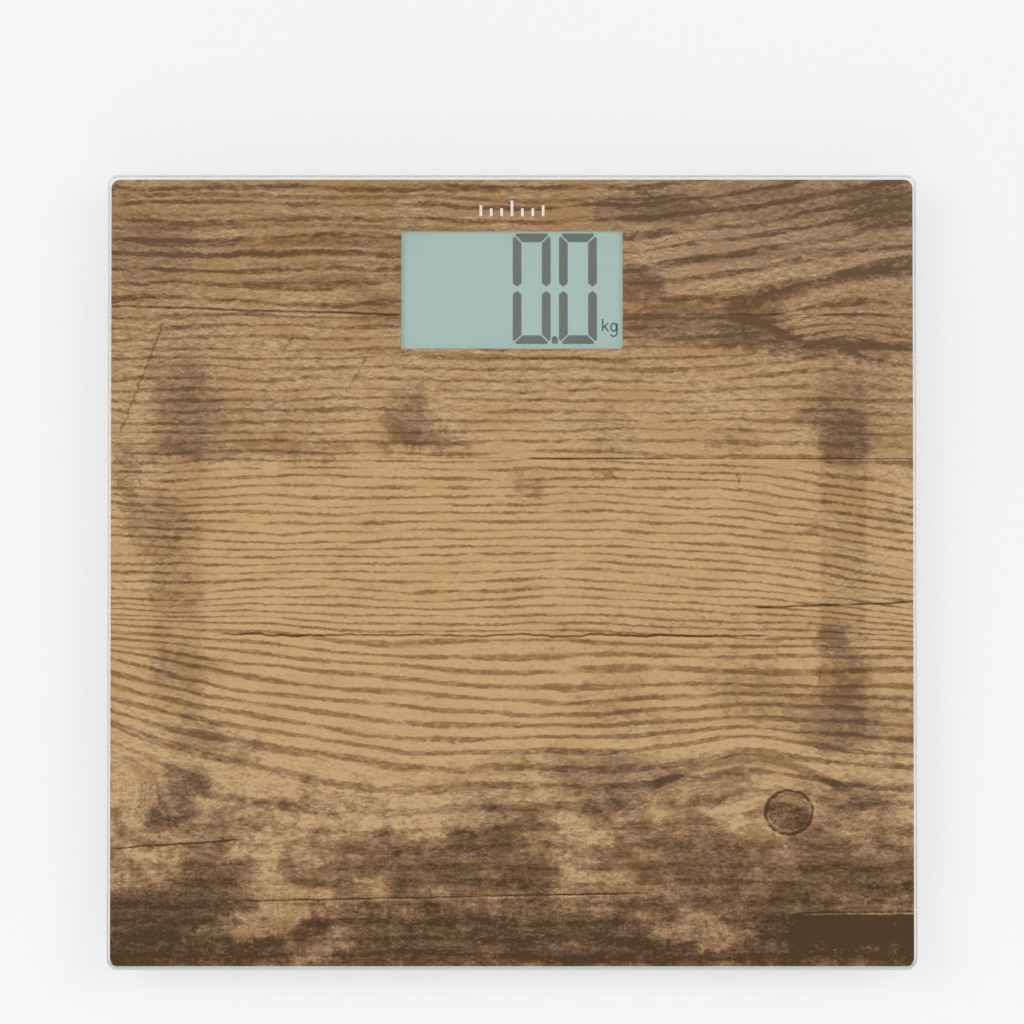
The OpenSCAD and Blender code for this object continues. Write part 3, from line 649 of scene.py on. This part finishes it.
def arc(middle, radius, start, end, steps):
    """Points of an arc, with both its ends. Angles are in degrees."""
    angles = (math.radians(start + (end - start) * k / steps) for k in range(steps + 1))
    return [(middle[0] + radius * math.cos(a), middle[1] + radius * math.sin(a)) for a in angles]


def rounded_outline(width, depth, radius, steps=10):
    """Corner arcs of a rounded rectangle round the origin, anticlockwise."""
    points = []
    for k, (sx, sy) in enumerate(((1, 1), (-1, 1), (-1, -1), (1, -1))):
        middle = (sx * (width / 2 - radius), sy * (depth / 2 - radius))
        points += arc(middle, radius, 90 * k, 90 * k + 90, steps)
    return points


def loft(name, rings):
    """Closed mesh through rings of the same number of points, with a flat cap at each end."""
    bm = bmesh.new()
    loops = [[bm.verts.new(p) for p in ring] for ring in rings]
    for lower, upper in zip(loops, loops[1:]):
        for k in range(len(lower)):
            following = (k + 1) % len(lower)
            bm.faces.new((lower[k], lower[following], upper[following], upper[k]))
    bm.faces.new(reversed(loops[0]))
    bm.faces.new(loops[-1])
    bmesh.ops.recalc_face_normals(bm, faces=bm.faces)
    return to_mesh(bm, name)


def to_mesh(bm, name):
    mesh = bpy.data.meshes.new(name)
    bm.to_mesh(mesh)
    bm.free()
    return mesh


def piece(name, mesh, material, smooth=False):
    obj = bpy.data.objects.new(name, mesh)
    scene.collection.objects.link(obj)
    mesh.materials.append(material)
    if smooth:
        mesh.shade_smooth()
        normals = obj.modifiers.new("face_weighted_normals", "WEIGHTED_NORMAL")
        normals.keep_sharp = True
    return obj


def flat_piece(name, faces, z, thickness, material, body):
    """Thin raised plates: each face is a list of (x, y) in millimetres."""
    bm = bmesh.new()
    for outline in faces:
        bm.faces.new([bm.verts.new((x * MM, y * MM, z)) for x, y in outline])
    bmesh.ops.remove_doubles(bm, verts=bm.verts, dist=1e-7)
    raised = bmesh.ops.extrude_face_region(bm, geom=bm.faces[:])["geom"]
    top = [v for v in raised if isinstance(v, bmesh.types.BMVert)]
    bmesh.ops.translate(bm, verts=top, vec=(0, 0, thickness))
    bmesh.ops.recalc_face_normals(bm, faces=bm.faces)
    obj = piece(name, to_mesh(bm, name), material)
    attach(obj, body)
    return obj


# ---------------------------------------------------------------- platform glass

def make_glass():
    """The platform's slab: rounded corners and a rounded, ground edge top and bottom."""
    side = PLATE_HIGH.x - PLATE_LOW.x
    corner, bevel, gap = 4.0 * MM, 0.8 * MM, 0.02 * MM
    bottom, top = PLATE_LOW.z + gap, PLATE_HIGH.z
    profile = [(bevel - x, bottom + z) for x, z in arc((0, bevel), bevel, -90, 0, 5)]
    profile += [(bevel - x, top - bevel + z) for x, z in arc((0, 0), bevel, 0, 90, 5)]
    rings = []
    for inset, z in profile:
        outline = rounded_outline(side - 2 * inset, side - 2 * inset, corner - inset, 8)
        rings.append([(x, y, z) for x, y in outline])
    slab = piece("platform_glass", loft("platform_glass", rings), glass(), smooth=True)
    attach(slab, "platform")
    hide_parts("glass_platform")


# ---------------------------------------------------------------- display marks

PARALLAX_MM = 0.29  # the panel lies below the print, so its marks are seen a little lower
DIGIT_LEFT_MM = (0.26, 17.6)
DIGIT_WIDTH_MM = 14.24
DIGIT_LOW_MM, DIGIT_HIGH_MM = 87.3, 129.6
BAR_MM = 3.3  # thickness of a segment
MITRE_GAP_MM = 0.33
CORNER_CUT_MM = 1.3
WAIST_GAP_MM = 0.8  # from half height to the tip of an upright
POINT_SLOPE = 0.4  # height of an upright's pointed end beside its thickness
POINT_R_MM = 1.15
UNIT_LOW_MM = 92.1
UNIT_STROKE_MM = 0.6
LOWER_CASE_MM = 3.2  # height of the unit's small letters


def zero_digit(left):
    """The six lit segments of a 0, mitred at the corners and pointed at half height."""
    low, high = DIGIT_LOW_MM + PARALLAX_MM, DIGIT_HIGH_MM + PARALLAX_MM
    middle_x, middle_y = left + DIGIT_WIDTH_MM / 2, (low + high) / 2
    half_w, half_h = DIGIT_WIDTH_MM / 2, (high - low) / 2
    cut, gap = CORNER_CUT_MM, MITRE_GAP_MM
    shoulder = WAIST_GAP_MM + BAR_MM * POINT_SLOPE
    faces = []
    for sx in (-1, 1):
        for sy in (-1, 1):
            upright = [(half_w, half_h - cut - gap), (half_w - cut / 2, half_h - cut / 2 - gap * 1.4),
                       (half_w - BAR_MM, half_h - BAR_MM - gap), (half_w - BAR_MM, shoulder),
                       (half_w - BAR_MM / 2, WAIST_GAP_MM), (half_w, shoulder)]
            face = [(middle_x + sx * x, middle_y + sy * y) for x, y in upright]
            faces.append(face if sx * sy > 0 else face[::-1])
    for sy in (-1, 1):
        bar = [(half_w - cut, half_h), (half_w - cut / 2 - gap, half_h - cut / 2),
               (half_w - BAR_MM - gap, half_h - BAR_MM)]
        face = [(middle_x + x, middle_y + sy * y) for x, y in bar]
        face += [(middle_x - x, middle_y + sy * y) for x, y in reversed(bar)]
        faces.append(face if sy < 0 else face[::-1])
    return faces


def ribbon(points, width, closed=False):
    """Quads along a line of points."""
    count = len(points)
    sides = []
    for k, (x, y) in enumerate(points):
        before = points[(k - 1) % count] if closed or k else points[k]
        after = points[(k + 1) % count] if closed or k < count - 1 else points[k]
        along = Vector((after[0] - before[0], after[1] - before[1])).normalized()
        off = (-along.y * width / 2, along.x * width / 2)
        sides.append(((x + off[0], y + off[1]), (x - off[0], y - off[1])))
    pairs = list(zip(sides, sides[1:])) + ([(sides[-1], sides[0])] if closed else [])
    return [[a[1], b[1], b[0], a[0]] for a, b in pairs]


def unit_mark():
    """The small kg to the right of the digits."""
    base = UNIT_LOW_MM + PARALLAX_MM
    stroke = UNIT_STROKE_MM
    faces = ribbon([(34.0, base), (34.0, base + 4.8)], stroke)
    faces += ribbon([(36.05, base + LOWER_CASE_MM), (34.25, base + 1.45)], stroke)
    faces += ribbon([(34.75, base + 1.9), (36.2, base)], stroke)
    bowl = [(38.15 + 1.05 * math.cos(a), base + 1.6 + 1.5 * math.sin(a))
            for a in (2 * math.pi * k / 18 for k in range(18))]
    faces += ribbon(bowl, stroke, closed=True)
    tail = arc((38.1, base - 0.6), 1.25, -20, -150, 6)
    faces += ribbon([(39.35, base + LOWER_CASE_MM), (39.35, base - 0.6)] + tail, stroke)
    return faces


def make_display_marks():
    z = PANEL_TOP - 0.01 * MM
    thickness = 0.04 * MM
    segment = moulded("lcd_segment", (110, 115, 108), 0.45, 0.25, 0.001, 0.03)
    small = moulded("lcd_unit", (94, 100, 96), 0.45, 0.25, 0.001, 0.03)
    for name, left in zip(("tens", "tenths"), DIGIT_LEFT_MM):
        flat_piece(f"lcd_digit_{name}", zero_digit(left), z, thickness, segment, "platform")
    point_x = (DIGIT_LEFT_MM[0] + DIGIT_WIDTH_MM + DIGIT_LEFT_MM[1]) / 2
    low = DIGIT_LOW_MM + PARALLAX_MM
    point = [(point_x - POINT_R_MM, low + 0.15), (point_x + POINT_R_MM, low + 0.15)]
    point += arc((point_x, low + 1.9), POINT_R_MM, 0, 180, 8)
    flat_piece("lcd_decimal_point", [point], z, thickness, segment, "platform")
    flat_piece("lcd_unit_mark", unit_mark(), z, thickness, small, "platform")


def make_tick_mark():
    """A short row of pale scale ticks, printed above the display window."""
    pitch, half = 3.9, 0.5
    low = 136.3
    heights = (4.2, 3.0, 3.0, 6.0, 3.0, 3.0, 4.2)
    faces = []
    for k, height in enumerate(heights):
        x = (k - (len(heights) - 1) / 2) * pitch
        high = low + height
        faces.append([(x - half, low), (x + half, low), (x + half, high), (x - half, high)])
    ink = moulded("tick_ink", (232, 231, 226), 0.4, 0.2, 0.001, 0.02)
    flat_piece("print_tick_mark", faces, FILM_TOP - 0.002 * MM, 0.014 * MM, ink, "platform")


# ---------------------------------------------------------------- feet

CELL_MM = 34.0  # side of the load cell
TONGUE_MM = (-10.8, 11.0, 6.0)  # tip, root and half width, in the load cell's own axes
BENDING_MM = 4.5  # a place on the tongue, between its root and its tip
SLOT_MM = 1.6  # gap round the tongue
CELL_EDGE_MM = 0.15  # rounding of the sheet's edges
CELL_HOLES_MM = (12.5, 14.0, 1.75)  # along, across and radius
TONGUE_CORNER_MM = 1.5
GAUGE_AT_MM = 7.5  # along the tongue
GAUGE_MM = (7.0, 8.6, 1.6)  # length, width and corner radius
GAUGE_SLOPE_MM = 1.4  # how much smaller the coat's top is, all round
LEAD_BEND_MM = 1.4
LEAD_PITCH_MM = 1.5
LEAD_R_MM = 0.6
LEAD_END_MM = {"front": 80.6, "rear": 50.0}  # y of the front leads' ends and x of the rear ones'
FRONT_PORT_MM = (36.0, 45.0)
LEAD_COLOURS = ((168, 40, 34), (34, 34, 36), (226, 226, 222))


def foot_axes(foot):
    """A foot's middle, and the direction from it to where its lead enters the housing."""
    sx = -1 if foot.endswith("left") else 1
    sy = -1 if foot.startswith("front") else 1
    middle = Vector((sx * FOOT_AT_MM, sy * FOOT_AT_MM, 0)) * MM
    port = Vector((sx * FRONT_PORT_MM[0], FRONT_PORT_MM[1], 0)) * MM if sy < 0 else Vector((0, middle.y, 0))
    return middle, (port - middle).normalized()


def foot_point(foot, x_mm, y_mm, z):
    """A point given in a foot's own axes, with x towards the housing."""
    middle, along = foot_axes(foot)
    across = Vector((-along.y, along.x, 0))
    place = middle + along * (x_mm * MM) + across * (y_mm * MM)
    return Vector((place.x, place.y, z))


def make_load_cell(foot, steel):
    """A frame with a slot and four holes, which rides with the platform, and a tongue in the slot."""
    low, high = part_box(f"load_cell_{foot}")
    tip, root, half = TONGUE_MM
    curve = bpy.data.curves.new("cell_outline", "CURVE")
    curve.dimensions = "2D"
    curve.fill_mode = "BOTH"
    curve.extrude = (high.z - low.z) / 2 - CELL_EDGE_MM * MM
    curve.bevel_depth = CELL_EDGE_MM * MM
    side = half + SLOT_MM
    window = [(root, side), (root, -side), (tip - SLOT_MM, -side), (tip - SLOT_MM, side)]
    outer = CELL_MM - 2 * CELL_EDGE_MM
    outlines = [rounded_outline(outer, outer, 4.0), window]
    hole_x, hole_y, hole_r = CELL_HOLES_MM
    outlines += [arc((sx * hole_x, sy * hole_y), hole_r, 360, 30, 11) for sx in (-1, 1) for sy in (-1, 1)]
    for outline in outlines:
        spline = curve.splines.new("POLY")
        spline.points.add(len(outline) - 1)
        spline.use_cyclic_u = True
        for point, (x, y) in zip(spline.points, outline):
            point.co = (*foot_point(foot, x, y, 0.0), 1.0)
    drawn = bpy.data.objects.new("cell_outline", curve)
    scene.collection.objects.link(drawn)
    bpy.context.view_layer.update()
    mesh = bpy.data.meshes.new_from_object(drawn.evaluated_get(bpy.context.evaluated_depsgraph_get()))
    bpy.data.objects.remove(drawn)
    mesh.transform(Matrix.Translation((0, 0, (low.z + high.z) / 2)))
    mesh.materials.clear()
    rim = piece(f"load_cell_frame_{foot}", mesh, steel)
    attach(rim, "platform")
    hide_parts(f"load_cell_{foot}")

    rings = []
    steps = 24
    edge, corner = CELL_EDGE_MM, TONGUE_CORNER_MM
    under, over = low.z + edge * MM, high.z - edge * MM
    for k in range(steps + 1):
        x = tip + (root - tip) * k / steps
        wide = half - (corner - math.sqrt(max(0.0, corner ** 2 - max(0.0, tip + corner - x) ** 2)))
        rings.append([foot_point(foot, x, y, z) for y, z in (
            (-wide, under), (-wide + edge, low.z), (wide - edge, low.z), (wide, under),
            (wide, over), (wide - edge, high.z), (-wide + edge, high.z), (-wide, over))])
    tongue = piece(f"load_cell_tongue_{foot}", loft("load_cell_tongue", rings), steel)
    foot_point(foot, root, 0, low.z)
    foot_point(foot, BENDING_MM, 0, low.z)
    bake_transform(tongue)
    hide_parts(f"load_cell_{foot}")


def make_gauge(foot, coating):
    """Domed coat of silicone over the strain gauge, on the tongue."""
    low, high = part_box(f"strain_gauge_{foot}")
    tall = high.z - low.z
    length, width, corner = GAUGE_MM
    rings = []
    steps = 6
    for k in range(steps + 1):
        rise = math.sin(math.pi / 2 * k / steps)
        inset = GAUGE_SLOPE_MM * (1 - math.cos(math.pi / 2 * k / steps))
        outline = rounded_outline(length - 2 * inset, width - 2 * inset, corner - inset)
        rings.append([foot_point(foot, GAUGE_AT_MM + x, y, low.z + tall * rise) for x, y in outline])
    gauge = piece(f"strain_gauge_coat_{foot}", loft("strain_gauge_coat", rings), coating, smooth=True)
    foot_point(foot, TONGUE_MM[1], 0, low.z)
    foot_point(foot, BENDING_MM, 0, low.z)
    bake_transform(gauge)
    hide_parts(f"strain_gauge_{foot}")


def make_leads(foot, colours):
    """Three insulated wires from the gauge to the board, with their ends turned down to its pads."""
    low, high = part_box(f"sensor_lead_{foot}")
    middle, along = foot_axes(foot)
    if foot.startswith("front"):
        reach = (LEAD_END_MM["front"] * MM - middle.y) / along.y / MM
    else:
        reach = abs(middle.x) / MM - LEAD_END_MM["rear"]
    level = high.z - LEAD_R_MM * MM
    curve = bpy.data.curves.new("sensor_leads", "CURVE")
    curve.dimensions = "3D"
    curve.bevel_depth = LEAD_R_MM * MM
    curve.bevel_resolution = 3
    curve.use_fill_caps = True
    for k, material in zip((-1, 0, 1), colours):
        curve.materials.append(material)
        start, bend = TONGUE_MM[1], LEAD_BEND_MM
        line = [(start + (reach - bend - start) * j / 12, level) for j in range(13)]
        line += [(reach - bend + bend * math.sin(a), level - bend * MM * (1 - math.cos(a)))
                 for a in (math.radians(18 * j) for j in range(1, 6))]
        line.append((reach, low.z + 0.3 * MM))
        spline = curve.splines.new("POLY")
        spline.points.add(len(line) - 1)
        spline.material_index = k + 1
        for j, (point, (x, z)) in enumerate(zip(spline.points, line)):
            point.co = (*foot_point(foot, x, k * LEAD_PITCH_MM, z), 1.0)
            point.radius = 0.5 if j == len(line) - 1 else 1.0
    leads = bpy.data.objects.new(f"sensor_leads_{foot}", curve)
    scene.collection.objects.link(leads)
    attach(leads, "platform")
    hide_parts(f"sensor_lead_{foot}")


def make_feet():
    steel = metal("load_cell_steel", (170, 174, 178), 0.34)
    coating = moulded("gauge_coating", (238, 238, 232), 0.4, 0.6, 0.03, 0.03)
    wires = [moulded(f"wire_{k}", colour, 0.38, 0.5, 0.004, 0.06) for k, colour in enumerate(LEAD_COLOURS)]
    for foot in FEET:
        make_load_cell(foot, steel)
        make_gauge(foot, coating)
        make_leads(foot, wires)


# ---------------------------------------------------------------- studio

SKY_UP, SKY_MIDDLE, SKY_SIDE = 0.07, 0.5, 0.95  # brightness overhead, half way up and at the horizon
SKY_MIRRORED = 0.45  # how bright the sky is in the glass, beside what it is as a light
SOFT_BOX_SIZE = 1.6
SOFT_BOXES = (  # name, place and power
    ("soft_left", (-1.9, 0.2, 1.9), 24),
    ("soft_right", (1.9, 0.3, 1.9), 20),
    ("soft_front", (0.0, -2.3, 1.5), 14),
)


def make_world():
    world = bpy.data.worlds.new("studio")
    scene.world = world
    world.use_nodes = True
    tree = world.node_tree
    tree.nodes.clear()
    direction = tree.nodes.new("ShaderNodeTexCoord")
    parts = tree.nodes.new("ShaderNodeSeparateXYZ")
    tree.links.new(direction.outputs["Generated"], parts.inputs[0])
    ramp = tree.nodes.new("ShaderNodeValToRGB")
    tree.links.new(parts.outputs[2], ramp.inputs["Fac"])
    levels = ((0.0, SKY_SIDE), (0.6, SKY_MIDDLE), (0.9, SKY_UP))
    while len(ramp.color_ramp.elements) < len(levels):
        ramp.color_ramp.elements.new(0.5)
    for element, (place, level) in zip(ramp.color_ramp.elements, levels):
        element.position = place
        element.color = (level, level, level * 1.005, 1)
    path = tree.nodes.new("ShaderNodeLightPath")
    mirrored = tree.nodes.new("ShaderNodeMath")
    mirrored.operation = "MULTIPLY"
    tree.links.new(path.outputs["Is Glossy Ray"], mirrored.inputs[0])
    tree.links.new(path.outputs["Is Reflection Ray"], mirrored.inputs[1])
    strength = tree.nodes.new("ShaderNodeMapRange")
    strength.inputs["To Min"].default_value = 1.0
    strength.inputs["To Max"].default_value = SKY_MIRRORED
    tree.links.new(mirrored.outputs[0], strength.inputs["Value"])
    back = tree.nodes.new("ShaderNodeBackground")
    tree.links.new(ramp.outputs["Color"], back.inputs["Color"])
    tree.links.new(strength.outputs["Result"], back.inputs["Strength"])
    output = tree.nodes.new("ShaderNodeOutputWorld")
    tree.links.new(back.outputs["Background"], output.inputs["Surface"])


def soft_box(name, place, power):
    data = bpy.data.lights.new(name, "AREA")
    data.shape = "SQUARE"
    data.size = SOFT_BOX_SIZE
    data.energy = power
    lamp = bpy.data.objects.new(name, data)
    lamp.location = place
    lamp.rotation_euler = (Vector((0, 0, 0.02)) - Vector(place)).to_track_quat("-Z", "Y").to_euler()
    lamp.visible_camera = False
    lamp.visible_glossy = False  # its mirror image in the glass would hide the print
    scene.collection.objects.link(lamp)


def make_studio():
    make_world()
    for name, place, power in SOFT_BOXES:
        soft_box(name, place, power)
    bm = bmesh.new()
    level = Matrix.Translation((0, 0, FLOOR_Z))
    bmesh.ops.create_grid(bm, x_segments=8, y_segments=8, size=6.0, matrix=level)
    floor = piece("floor", to_mesh(bm, "floor"), studio_floor())
    scene.view_settings.view_transform = "Standard"


# ---------------------------------------------------------------- whole object

make_studio()
finish_cad_nodes()
make_glass()
make_display_marks()
make_tick_mark()
make_feet()
